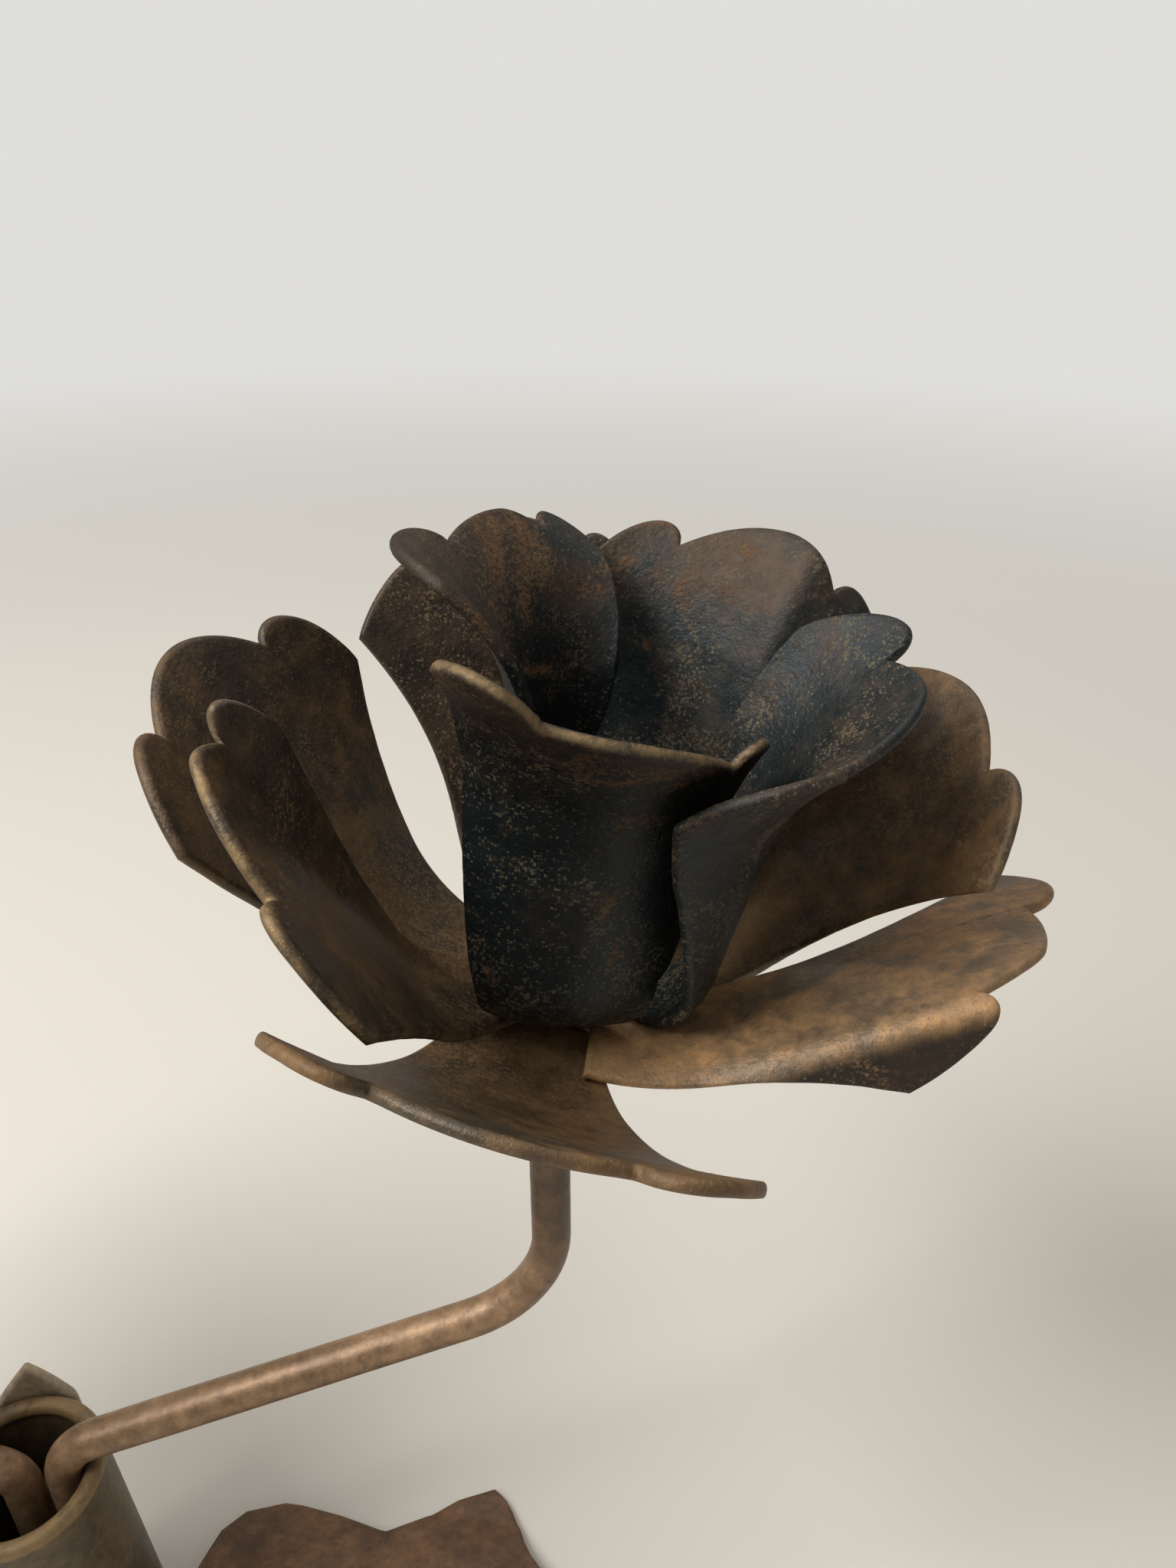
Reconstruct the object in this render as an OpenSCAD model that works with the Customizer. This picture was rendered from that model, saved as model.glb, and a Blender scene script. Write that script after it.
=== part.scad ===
// Wrought-iron candle holder with two rose heads.
// Two bent rods drop into a rolled sheet cone and carry a sheet-metal rose each.
// Every rose is three four-petal blanks stacked on the rod's riveted end.
// The origin is the middle of the foot, on the table. +X points to the right rose's side, +Z is up.

/* [Base cone] */
// Height of the cone from the table to its rim
base_h = 50; // [40:1:70]
// Outer diameter of the rim
mouth_d = 21.5; // [21.5:0.5:26]
// Outer diameter of the foot
foot_d = 26; // [25:0.5:36]
// Wall of the cone sheet
base_wall = 1.8; // [1.2:0.1:2.2]
// Height of the rounded bead that the rim is hammered to
rim_bead_d = 2.4; // [2.2:0.1:2.7]
// Width of the open seam where the rolled sheet meets
seam_w = 0.6; // [0.3:0.1:1.5]
// Thickness of the plug that closes the foot
plug_t = 4; // [3:0.5:8]

/* [Arms] */
// Diameter of the round rod
rod_d = 5; // [4:0.25:5.25]
// Distance from the cone's axis to the upright part of each arm
arm_reach = 72; // [62:1:100]
// Compass angle of the right arm, in degrees
arm_azimuth = 10; // [0:1:30]
// Slope of the slanting part of the arm, in degrees
arm_slope = 14; // [10:1:24]
// Height above the rim at which the slanting line would meet the right arm's leg
arm_lift = 3; // [2.8:0.1:6]
// Distance of the right arm's leg from the cone's axis
right_leg_offset = 5.7; // [5.5:0.1:5.9]
// Bend radius where the arm drops into the cone
hook_bend_r = 6.5; // [5:0.5:7]
// Bend radius where the arm turns up to the rose
elbow_bend_r = 15; // [10:1:20]
// Height of the rose's seat above the rim
seat_rise = 72; // [60:1:90]
// Outward lean of the rose, in degrees
head_tilt = 13; // [5:1:20]
// Bend radius of the lean, just under the rose
neck_bend_r = 30; // [20:1:50]
// Diameter of the riveted tenon on the rod's end
tenon_d = 3.6; // [3:0.1:3.9]
// Diameter of the hammered rivet head
rivet_d = 7; // [6:0.5:9]
// Height of the hammered rivet head
rivet_h = 1.6; // [1.2:0.1:2.5]

/* [Petals] */
// Thickness of the petal sheet
petal_t = 1.2; // [0.8:0.1:1.4]
// Diameter of the flat middle of a blank
hub_d = 18; // [17:0.5:20]
// Radius from which the outer petals are cut free
outer_root_r = 8; // [7.5:0.25:8.5]
// Length of an outer petal from its root to its corners
outer_len = 39; // [34:0.5:46]
// Half width of an outer petal's neck
outer_neck = 5.5; // [4:0.25:6]
// Half width of an outer petal across its corners
outer_head = 21; // [16:0.5:24]
// Radius from which the cup petals are cut free
cup_root_r = 6; // [5.5:0.25:6.5]
// Length of a cup petal from its root to its corners
cup_len = 39; // [36:0.5:44]
// Half width of a cup petal's neck
cup_neck = 4; // [3.5:0.25:5]
// Half width of a cup petal across its corners
cup_head = 19; // [16:0.5:21]
// How far the notches of a petal's tip lie past its corners
notch_reach = 5; // [3:0.25:7]
// How far the middle lobe stands past the notches
middle_lobe = 3.5; // [1.5:0.25:5]
// How far the side lobes bulge
side_lobe = 4.5; // [2:0.25:6]

/* [Leaves] */
// Thickness of the leaf sheet
leaf_t = 1.5; // [1:0.1:2]
// Length of a foot leaf from the cone to its tip
leaf_len = 62; // [45:1:75]
// Half width of a foot leaf over its widest lobes
leaf_half_w = 23; // [16:0.5:28]
// Height of the foot leaf's root on the cone
leaf_root_z = 6; // [5:0.5:9]
// How far the leaf's edges droop below its midrib, down to the table
leaf_droop = 7; // [5:0.25:8]
// Compass angle of the foot leaf
leaf_azimuth = 2; // [0:1:14]
// Half width of the upright back leaf
back_leaf_half_w = 6; // [5:0.5:8]
// How far the back leaf's tip stands above the rim
back_leaf_rise = 5; // [3:0.5:14]
// Angle by which the back leaf is turned to the left of the cone's back
back_leaf_turn = 12; // [0:1:20]

/* [Hidden] */
$fn = 64;

// Overrun of every cut past the surface it opens
overrun = 1;
// Clearance between brazed or riveted pieces
fit_gap = 0.2;
// Swelling of the rod where it is bent hot, on the radius
bend_swell = 0.05;
// Length by which a straight part reaches into a bend
bend_lap = 0.4;
// Side of the arm pair: the left arm is the right one turned half round
half_turn = 180;

// Grid of a petal: steps along it and across it
petal_rows = 8;
petal_columns = 16;
// Steps of the sums that follow a bent sheet
bend_steps = 10;
// Shares of the half width at which a tip has its notches
notch_share = 0.5;
// Roundness of the side lobes
lobe_power = 0.7;

// Shares of a petal's length at which its lift is given
outer_lift_shares = [0, 0.3, 0.7, 1];
cup_lift_shares = [0, 0.12, 0.25, 0.55, 0.8, 1];

// Each petal: compass angle of its root, swing from there, lifts in degrees, roll at the tip, cupping at the
// corners, skew of the tip in mm, shares of the common length and of the common tip, then for its minus and
// plus sides the shares of the common head, the growths of the width and the shares of the common neck, and
// last the fold: its side, its angle and its distance from the midrib in mm
outer_petals = [
    [261, 0, [-12, 24, 44, 38], -1, 11, 0, 1.0, 1, [0.93, 0.95], [1.0, 1.05], [1.35, 1.1], [0, 0, 0]],
    [16, 0, [0, 54, 69, 60], 2, 12, 1, 1.03, 1.45, [1.05, 1.1], [3.0, 1.4], [1, 1], [0, 0, 0]],
    [84, 0, [0, 36, 44, 38], 0, 14, 0, 1.0, 1, [1, 1], [1.6, 1.6], [1, 1], [0, 0, 0]],
    [176, 0, [0, 40, 48, 45], -13, 28, 0, 0.88, 1.6, [1.0, 0.98], [0.9, 1.4], [1.3, 1], [0, 0, 0]]
];
middle_petals = [
    [218, 0, [0, 47, 51, 47], -20, 10, -4, 0.98, 1.2, [0.45, 0.95], [1.2, 1.5], [1, 1], [-1, 45, 1]],
    [300, 54, [-2, 30, 36, 26], -14, 0, 8, 0.98, 1, [0.72, 1.15], [3.6, 2.7], [1.75, 1], [-1, -110, 6.5]],
    [52, 0, [0, 60, 80, 76], 0, 30, 0, 1.0, 1, [0.7, 0.85], [1.6, 1.6], [0.8, 0.8], [0, 0, 0]],
    [112, 0, [0, 52, 67, 62], -20, 12, -3, 1.0, 1.5, [0.75, 0.85], [1.2, 3.0], [1, 1], [0, 0, 0]]
];
// Width over which a fold turns the sheet
fold_w = 4.5;

// Each cup petal: compass angle, lifts in degrees, turn that tucks one side under its neighbour, skew of the
// tip in mm, shares of the common length and of the common tip, shares of the common head and growths on
// either side, shift of the root in mm, share of the common curl, curl at the tip in degrees,
// fold of a side
cup_petals = [
    [270, [0, 46, 95, 86, 60, 40], 12, -9, 0.91, 1, [1.0, 1.0], [0.6, 0.6], 2.5, 1, 44, [0, 0, 0]],
    [337, [0, 46, 88, 86, 60, 38], 15, 4, 0.92, 1.5, [1.02, 0.85], [1.25, 1.2], 2.5, 1, 34, [0, 0, 0]],
    [49, [10, 60, 92, 91, 74, 50], 0, -3, 1.03, 1.35, [0.9, 1.0], [0.9, 0.6], 2.5, 0.8, 20, [-1, -75, 3]],
    [143, [10, 66, 95, 90, 56, 26], 0, 0, 1.08, 1, [0.52, 1.08], [1.2, 1.1], -1.5, 1.1, -10, [0, 0, 0]]
];
// Lengthwise shares and angles of the cup petals' curl around the candle
cup_curl = [[0, 22], [0.2, 80], [0.65, 74]];
// Share of the length by which a cup petal's tuck is reached
cup_tuck_share = 0.15;

// Foot leaf outline: shares of its length and of its half width
leaf_outline_shares = [
    [0, 0.25], [0.05, 0.72], [0.1, 0.88], [0.2, 0.93], [0.36, 0.8], [0.48, 0.67], [0.58, 0.8], [0.67, 0.93],
    [0.77, 1], [0.81, 0.88], [0.86, 0.52], [0.93, 0.25], [1, 0.02]
];
leaf_rows = 25;
leaf_columns = 8;
// Wave of the leaf's midrib: shares of its length and of its root height
leaf_rib_shares = [[0, 1], [0.25, 1.25], [0.5, 0.95], [0.75, 0.8], [1, 0.45]];
// Back leaf outline: shares of its height and of its half width
back_leaf_outline_shares = [[0, 0.3], [0.3, 0.85], [0.6, 1], [0.88, 0.95], [1, 0.04]];
back_leaf_rows = 20;
back_leaf_columns = 6;

// Stack of the three blanks along the rose's axis
seat_z = 0;
outer_z = seat_z + petal_t / 2 + fit_gap;
middle_z = outer_z + petal_t + fit_gap;
cup_z = middle_z + petal_t + fit_gap;
rivet_z = cup_z + petal_t / 2 + fit_gap;

// Places along the right arm, in its own upright plane
rim_z = base_h;
hook_turn = 90 - arm_slope;
seat_height = rim_z + seat_rise;
neck_run = neck_bend_r * (1 - cos(head_tilt));
neck_climb = neck_bend_r * sin(head_tilt);

iron = "dimgray";
rust_brown = "saddlebrown";
tan_rod = "rosybrown";

// Sum of a list of numbers
function total(list) = list * [for (item = list) 1];

// How far the scalloped tip lies past the petal's corners at share v of the half width. The tip share stretches
// its middle lobe and its notches.
function tip_reach(v, tip_share) =
    let (a = abs(v), x = max(0, (a - notch_share) / (1 - notch_share)))
    a <= notch_share
        ? tip_share * (notch_reach + middle_lobe * (1 - pow(a / notch_share, 2)))
        : tip_share * notch_reach * (1 - x) + side_lobe * pow(4 * x * (1 - x), lobe_power);

// Mean of the cosine or the sine of a bend angle from zero to share x
function mean_cos(knots, x) =
    total([for (k = [0.5:bend_steps]) cos(lookup(x * k / bend_steps, knots))]) / bend_steps;
function mean_sin(knots, x) =
    total([for (k = [0.5:bend_steps]) sin(lookup(x * k / bend_steps, knots))]) / bend_steps;

// Soft step from 0 to 1
function soft_step(x) = let (s = min(1, max(0, x))) s * s * (3 - 2 * s);

// Angle of the sheet across a petal at share v: an even curl and a lengthwise fold [side, angle, distance]
function cross_angle(v, x, half_w, curl, fold) =
    curl * v + fold[0] * fold[1] * sqrt(x) * soft_step((fold[0] * v * half_w - fold[2]) / fold_w);

// Means of the cosine and the sine of that angle between the midrib and share v
function cross_mean(v, x, half_w, curl, fold) =
    let (angles = [for (k = [0.5:bend_steps]) cross_angle(v * k / bend_steps, x, half_w, curl, fold)])
    [total([for (a = angles) cos(a)]) / bend_steps, total([for (a = angles) sin(a)]) / bend_steps];

// A point of a petal's middle surface at shares u along it and v across it.
// The cut is [root radius, length, tip share, necks, heads, growths], with pairs of half widths and growths for
// the two sides.
function petal_point(u, v, azimuth, swing, lifts, roll, curls, skew, fold, cut, height) =
    let (
        along = u * (cut[1] + tip_reach(v, cut[2]) + skew * v),
        x = along / (cut[1] + cut[2] * (notch_reach + middle_lobe)),
        side = v < 0 ? 0 : 1,
        neck = cut[3][side],
        head = cut[4][side],
        half_w = neck + (head - neck) * pow(u, cut[5][side]),
        lift = lookup(x, lifts),
        turn = lookup(x, roll),
        mean = cross_mean(v, x, half_w, lookup(x, curls) * half_w / head, fold) * v * half_w,
        aside = mean[0] * cos(turn) - mean[1] * sin(turn),
        up = mean[0] * sin(turn) + mean[1] * cos(turn),
        reach = along * mean_cos(lifts, x) - up * sin(lift),
        z = height + along * mean_sin(lifts, x) + up * cos(lift),
        heading = azimuth + swing
    )
    [
        cut[0] * cos(azimuth) + reach * cos(heading) - aside * sin(heading),
        cut[0] * sin(azimuth) + reach * sin(heading) + aside * cos(heading),
        z
    ];

function surface_normal(grid, i, j) =
    let (
        last_i = len(grid) - 1,
        last_j = len(grid[0]) - 1,
        du = grid[min(i + 1, last_i)][j] - grid[max(i - 1, 0)][j],
        dv = grid[i][min(j + 1, last_j)] - grid[i][max(j - 1, 0)],
        n = cross(du, dv)
    )
    n / norm(n);

// A closed sheet of the given thickness around a grid of points
module sheet_solid(grid, thickness) {
    rows = len(grid);
    columns = len(grid[0]);
    normals = [for (i = [0:rows - 1]) [for (j = [0:columns - 1]) surface_normal(grid, i, j)]];
    front = [for (i = [0:rows - 1]) for (j = [0:columns - 1]) grid[i][j] + normals[i][j] * thickness / 2];
    back = [for (i = [0:rows - 1]) for (j = [0:columns - 1]) grid[i][j] - normals[i][j] * thickness / 2];
    count = rows * columns;
    cells = [for (i = [0:rows - 2]) for (j = [0:columns - 2]) i * columns + j];
    front_faces = [for (c = cells) for (half = [0, 1])
        half == 0 ? [c, c + 1, c + columns + 1] : [c, c + columns + 1, c + columns]];
    back_faces = [for (f = front_faces) [count + f[2], count + f[1], count + f[0]]];
    border = concat(
        [for (i = [0:rows - 2]) i * columns],
        [for (j = [0:columns - 2]) (rows - 1) * columns + j],
        [for (i = [rows - 1:-1:1]) i * columns + columns - 1],
        [for (j = [columns - 1:-1:1]) j]
    );
    edge_faces = [for (k = [0:len(border) - 1]) for (half = [0, 1])
        let (a = border[k], b = border[(k + 1) % len(border)])
        half == 0 ? [a, b, count + b] : [a, count + b, count + a]];
    polyhedron(concat(front, back), concat(front_faces, back_faces, edge_faces), convexity = 6);
}

function petal_grid(azimuth, swing, lifts, roll, curls, skew, fold, cut, height) =
    [for (i = [0:petal_rows]) [for (j = [-petal_columns / 2:petal_columns / 2])
        petal_point(i / petal_rows, 2 * j / petal_columns, azimuth, swing, lifts, roll, curls, skew, fold,
                    cut, height)]];

// Pairs of share and angle for a list of lifts
function knots(shares, angles) = [for (k = [0:len(shares) - 1]) [shares[k], angles[k]]];

// Flat middle of a blank with its rivet hole
module hub(height) {
    translate([0, 0, height - petal_t / 2])
    difference() {
        cylinder(d = hub_d, h = petal_t);
        translate([0, 0, -overrun])
        cylinder(d = tenon_d + 2 * fit_gap, h = petal_t + 2 * overrun);
    }
}

module outer_blank(table, height) {
    hub(height);
    for (p = table)
        sheet_solid(petal_grid(p[0], p[1], knots(outer_lift_shares, p[2]), [[0, 0], [1, p[3]]],
                               [[0, 0], [1, p[4]]], p[5], p[11],
                               [outer_root_r, outer_len * p[6], p[7], outer_neck * p[10], outer_head * p[8], p[9]],
                               height),
                    petal_t);
}

module cup_blank() {
    hub(cup_z);
    for (p = cup_petals)
        sheet_solid(petal_grid(p[0], 0, knots(cup_lift_shares, p[1]),
                               [[0, 0], [cup_tuck_share, p[2]], [1, p[2]]],
                               concat([for (k = cup_curl) [k[0], k[1] * p[9]]], [[1, p[10]]]), p[3], p[11],
                               [cup_root_r + p[8], cup_len * p[4], p[5], [cup_neck, cup_neck],
                                cup_head * p[6], p[7]],
                               cup_z),
                    petal_t);
}

// Puts a piece that is built on the rose's own axis onto the end of an arm
module on_head(turn) {
    rotate([0, 0, turn + arm_azimuth])
    translate([arm_reach + neck_run, 0, seat_height])
    rotate([0, head_tilt, 0])
    rotate([0, 0, -arm_azimuth])
    children();
}

// Straight length of rod between two points of the arm's plane
module straight_rod(from, to) {
    run = to - from;
    translate([from[0], 0, from[1]])
    rotate([0, atan2(run[0], run[1]), 0])
    translate([0, 0, -bend_lap])
    cylinder(d = rod_d, h = norm(run) + 2 * bend_lap);
}

// Round bend of the rod about a centre in the arm's plane, between two compass angles of that plane
module bent_rod(centre, bend_r, from_angle, turn) {
    translate([centre[0], 0, centre[1]])
    rotate([90, 0, 0])
    rotate([0, 0, from_angle])
    rotate_extrude(angle = turn)
    translate([bend_r, 0])
    circle(d = rod_d + 2 * bend_swell);
}

// One arm in the plane of +X and +Z: leg, hook, slanting part, elbow, upright, lean and tenon
module arm(leg_offset) {
    slope_z = rim_z + arm_lift + (arm_reach - right_leg_offset) * tan(arm_slope);
    hook_tangent = hook_bend_r * tan(hook_turn / 2);
    elbow_tangent = elbow_bend_r * tan(hook_turn / 2);
    hook_corner = [leg_offset, slope_z - (arm_reach - leg_offset) * tan(arm_slope)];
    elbow_corner = [arm_reach, slope_z];
    slant = [cos(arm_slope), sin(arm_slope)];
    leg_top = hook_corner - [0, hook_tangent];
    slant_start = hook_corner + slant * hook_tangent;
    slant_end = elbow_corner - slant * elbow_tangent;
    upright_start = elbow_corner + [0, elbow_tangent];
    lean_start = [arm_reach, seat_height - neck_climb];
    straight_rod([leg_offset, fit_gap + bend_lap], leg_top);
    bent_rod(leg_top + [hook_bend_r, 0], hook_bend_r, half_turn - hook_turn, hook_turn);
    straight_rod(slant_start, slant_end);
    bent_rod(upright_start - [elbow_bend_r, 0], elbow_bend_r, -hook_turn, hook_turn);
    straight_rod(upright_start, lean_start);
    bent_rod(lean_start + [neck_bend_r, 0], neck_bend_r, half_turn - head_tilt, head_tilt);
    translate([arm_reach + neck_run, 0, seat_height])
    rotate([0, head_tilt, 0]) {
        translate([0, 0, -overrun])
        cylinder(d = tenon_d, h = overrun + rivet_z);
        translate([0, 0, rivet_z])
        intersection() {
            cylinder(d = rivet_d, h = rivet_h);
            translate([0, 0, rivet_h - rivet_d / 2 - rivet_h / 2])
            sphere(d = rivet_d + rivet_h);
        }
    }
}

module base_cone() {
    color(iron)
    difference() {
        union() {
            rotate_extrude()
            polygon([
                [foot_d / 2, 0],
                [mouth_d / 2, base_h - rim_bead_d / 2],
                [mouth_d / 2 - base_wall, base_h - rim_bead_d / 2],
                [foot_d / 2 - base_wall, 0]
            ]);
            translate([0, 0, base_h - rim_bead_d / 2])
            rotate_extrude()
            translate([mouth_d / 2 - base_wall / 2, 0])
            circle(d = rim_bead_d);
        }
        rotate([0, 0, half_turn - arm_azimuth])
        translate([0, -seam_w / 2, -overrun])
        cube([foot_d, seam_w, base_h + 2 * overrun]);
    }
}

module foot_plug() {
    slope = (foot_d - mouth_d) / 2 / (base_h - rim_bead_d / 2);
    inner_r = foot_d / 2 - base_wall - fit_gap;
    color(iron)
    difference() {
        cylinder(r1 = inner_r, r2 = inner_r - slope * plug_t, h = plug_t);
        translate([0, 0, -overrun])
        cylinder(d = rod_d + 2 * fit_gap, h = plug_t + 2 * overrun);
        rotate([0, 0, arm_azimuth])
        translate([right_leg_offset, 0, -overrun])
        cylinder(d = rod_d + 2 * fit_gap, h = plug_t + 2 * overrun);
    }
}

module right_arm() {
    color(tan_rod)
    rotate([0, 0, arm_azimuth])
    arm(right_leg_offset);
}

module left_arm() {
    color(tan_rod)
    rotate([0, 0, half_turn + arm_azimuth])
    arm(0);
}

module right_outer_petals() { color(rust_brown) on_head(0) outer_blank(outer_petals, outer_z); }
module right_middle_petals() { color(rust_brown) on_head(0) outer_blank(middle_petals, middle_z); }
module right_cup_petals() { color(iron) on_head(0) cup_blank(); }
module left_outer_petals() { color(rust_brown) on_head(half_turn) outer_blank(outer_petals, outer_z); }
module left_middle_petals() { color(rust_brown) on_head(half_turn) outer_blank(middle_petals, middle_z); }
module left_cup_petals() { color(iron) on_head(half_turn) cup_blank(); }

// Middle surface of a foot leaf that starts on the cone and runs along +X
function leaf_grid() =
    let (slope = (foot_d - mouth_d) / 2 / base_h, root_x = foot_d / 2 - slope * leaf_root_z + fit_gap)
    [for (i = [0:leaf_rows]) [for (j = [-leaf_columns / 2:leaf_columns / 2])
        let (
            u = i / leaf_rows,
            v = 2 * j / leaf_columns,
            half_w = leaf_half_w * lookup(u, leaf_outline_shares),
            rib_z = leaf_root_z * lookup(u, leaf_rib_shares),
            droop = leaf_droop * pow(abs(v) * half_w / leaf_half_w, 2)
        )
        [root_x + leaf_len * u, v * half_w, max(leaf_t / 2, rib_z - droop)]]];

module foot_leaf(turn) {
    color(rust_brown)
    rotate([0, 0, turn + leaf_azimuth])
    sheet_solid(leaf_grid(), leaf_t);
}

module right_leaf() { foot_leaf(0); }
module left_leaf() { foot_leaf(half_turn); }

// Upright leaf that follows the back of the cone and stands above its rim
module back_leaf() {
    slope = (foot_d - mouth_d) / 2 / base_h;
    height = base_h + back_leaf_rise;
    grid = [for (i = [0:back_leaf_rows]) [for (j = [-back_leaf_columns / 2:back_leaf_columns / 2])
        let (
            u = i / back_leaf_rows,
            z = height * u,
            r = foot_d / 2 - slope * min(z, base_h) + leaf_t / 2 + (rim_bead_d - base_wall) / 2 + fit_gap,
            across = 2 * j / back_leaf_columns * back_leaf_half_w * lookup(u, back_leaf_outline_shares),
            angle = across / r * half_turn / PI
        )
        [r * sin(angle), r * cos(angle), z]]];
    color(rust_brown)
    rotate([0, 0, back_leaf_turn])
    sheet_solid(grid, leaf_t);
}

base_cone();
foot_plug();
right_arm();
left_arm();
right_outer_petals();
right_middle_petals();
right_cup_petals();
left_outer_petals();
left_middle_petals();
left_cup_petals();
right_leaf();
left_leaf();
back_leaf();
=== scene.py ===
"""Dressed model of a wrought-iron taper candle holder with two rose heads.

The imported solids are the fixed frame. Every sheet and rod of them is laid out again here with the same
formulas and sizes, on finer grids, with rounded worn edges, hammer marks and rusted iron finishes.
Lengths are in millimetres and angles in degrees until a mesh is written, which is in metres.
"""

import logging
import math
from collections.abc import Callable
from dataclasses import dataclass, field
from enum import Enum
from functools import partial
from typing import ClassVar

import bmesh
import bpy
import numpy as np
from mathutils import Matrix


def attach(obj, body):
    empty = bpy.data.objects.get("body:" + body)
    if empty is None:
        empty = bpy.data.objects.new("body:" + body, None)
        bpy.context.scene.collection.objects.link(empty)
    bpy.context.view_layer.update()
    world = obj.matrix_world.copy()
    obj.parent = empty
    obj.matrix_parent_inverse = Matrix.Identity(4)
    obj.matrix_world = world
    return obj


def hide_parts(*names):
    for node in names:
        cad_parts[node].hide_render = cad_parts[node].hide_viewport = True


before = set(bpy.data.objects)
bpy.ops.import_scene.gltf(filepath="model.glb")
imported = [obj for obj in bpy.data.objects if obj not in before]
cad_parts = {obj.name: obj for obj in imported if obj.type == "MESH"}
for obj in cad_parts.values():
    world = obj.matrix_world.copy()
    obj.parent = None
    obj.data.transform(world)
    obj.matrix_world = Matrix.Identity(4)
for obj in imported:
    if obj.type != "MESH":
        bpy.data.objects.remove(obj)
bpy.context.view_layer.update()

Knots = tuple[tuple[float, float], ...]

LOG = logging.getLogger("candle_holder")
MM = 0.001

# Sizes of the part, the same as its solids have
BASE_H = 50.0
MOUTH_D = 21.5
FOOT_D = 26.0
BASE_WALL = 1.8
RIM_BEAD_D = 2.4
SEAM_W = 0.6
ROD_D = 5.0
ARM_REACH = 72.0
ARM_AZIMUTH = 10.0
ARM_SLOPE = 14.0
LEG_OFFSET = 5.7
ARM_LIFT = 3.0
HOOK_BEND_R = 6.5
ELBOW_BEND_R = 15.0
NECK_BEND_R = 30.0
SEAT_Z = 122.0
HEAD_TILT = 13.0
TENON_D = 3.6
RIVET_D = 7.0
RIVET_H = 1.6
PETAL_T = 1.2
FOLD_W = 4.5
HUB_D = 18.0
FIT_GAP = 0.2
LEAF_T = 1.5
LEAF_AZIMUTH = 2.0
OUTER_Z = PETAL_T / 2 + FIT_GAP
MIDDLE_Z = OUTER_Z + PETAL_T + FIT_GAP
CUP_Z = MIDDLE_Z + PETAL_T + FIT_GAP
RIVET_Z = CUP_Z + PETAL_T / 2 + FIT_GAP
SEAT = np.array([ARM_REACH + NECK_BEND_R * (1 - math.cos(math.radians(HEAD_TILT))), 0.0, SEAT_Z])

# Rows close to a sheet's borders, as shares of its length or width, so that they round smoothly
TIP_ROWS = (0.0013, 0.0045, 0.0095, 0.016)
PETAL_SIDES = (0.0015, 0.005, 0.011, 0.019)
LEAF_SIDES = (0.0015, 0.005, 0.011, 0.02)
BACK_SIDES = (0.004, 0.014, 0.03, 0.05)
PETAL_STEPS = (64, 84)

# Shares of the way to a point at which a sheet's angles are averaged
WAY = (np.arange(10) + 0.5) / 10

# Points nearer than this are one, in metres, and a radius that closes a pole
WELD = 0.004 * MM
POLE_R = 0.001

# A rubbed edge fades over this distance, and dust gathers over this share of a petal from its root
RUB_W = 0.8
GATHER_SHARE = 0.22

# Painted shade sets in over this distance past a fold, from half of the petal's length on: it darkens the
# lobe that the fold turns under
PAINTED_SHADE_W = 2.0
PAINTED_SHADE_FROM = 0.5
PAINTED_SHADE_RUN = 0.2
PAINTED_SHADE_TINT = -0.2

# The hub disc lies this far inside its solid, and its patina is dark
HUB_INSET = 0.03
HUB_TINT = 0.3

# Hammer marks: how many on a petal, their radii and their depth
DENTS = 16
DENT_R = (3.0, 6.0)
DENT_DEPTH = 0.1


class Side(Enum):
    """Which of the two arms a piece belongs to, and how far it is turned round the cone's axis."""

    RIGHT = 0.0
    LEFT = 180.0

    @property
    def label(self) -> str:
        """Prefix of the names of this side's pieces."""
        return self.name.lower()


class Patina(Enum):
    """The iron finishes of the object."""

    BLUED_CUP = "blued_sheet_cup"
    BROWN_OUTER = "brown_sheet_outer"
    BROWN_MIDDLE = "brown_sheet_middle"
    TAN_ROD = "tan_waxed_rod"
    CONE = "blackened_cone"
    LEAF = "brown_sheet_leaf"
    BACK_LEAF = "grey_sheet_back_leaf"


def turned(points: np.ndarray, degrees: float) -> np.ndarray:
    """Points turned about the Z axis.

    Args:
        points: array whose last axis is X, Y, Z.
        degrees: angle, anticlockwise from above.

    Returns:
        The turned points, in the same layout.
    """
    c, s = math.cos(math.radians(degrees)), math.sin(math.radians(degrees))
    x, y, z = points[..., 0], points[..., 1], points[..., 2]
    return np.stack([c * x - s * y, s * x + c * y, z], -1)


def leaned(points: np.ndarray, degrees: float) -> np.ndarray:
    """Points leaned about the Y axis, so that +Z tips towards +X.

    Args:
        points: array whose last axis is X, Y, Z.
        degrees: angle of the lean.

    Returns:
        The leaned points, in the same layout.
    """
    c, s = math.cos(math.radians(degrees)), math.sin(math.radians(degrees))
    x, y, z = points[..., 0], points[..., 1], points[..., 2]
    return np.stack([c * x + s * z, y, c * z - s * x], -1)


def soft_step(x: np.ndarray) -> np.ndarray:
    """Smooth step from 0 to 1: 3 x squared minus 2 x cubed, held at its ends."""
    s = np.clip(x, 0.0, 1.0)
    return s * s * (3 - 2 * s)


def edge_spaced(count: int, ends: tuple[float, ...], both: bool) -> np.ndarray:
    """Shares from 0 to 1 that are even in the middle and close together at an end.

    Args:
        count: number of even steps.
        ends: small distances from the end, as shares, that get a row each.
        both: True puts the close rows at both ends, False at the far end only.

    Returns:
        The sorted shares.
    """
    near = np.asarray(ends)
    inner = np.linspace(near.max(), 1 - near.max(), count) if both else np.linspace(0, 1 - near.max(), count)
    parts = [inner, 1 - near[:-1], [1.0]]
    if both:
        parts += [near[:-1], [0.0]]
    return np.unique(np.round(np.concatenate(parts), 7))


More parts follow.
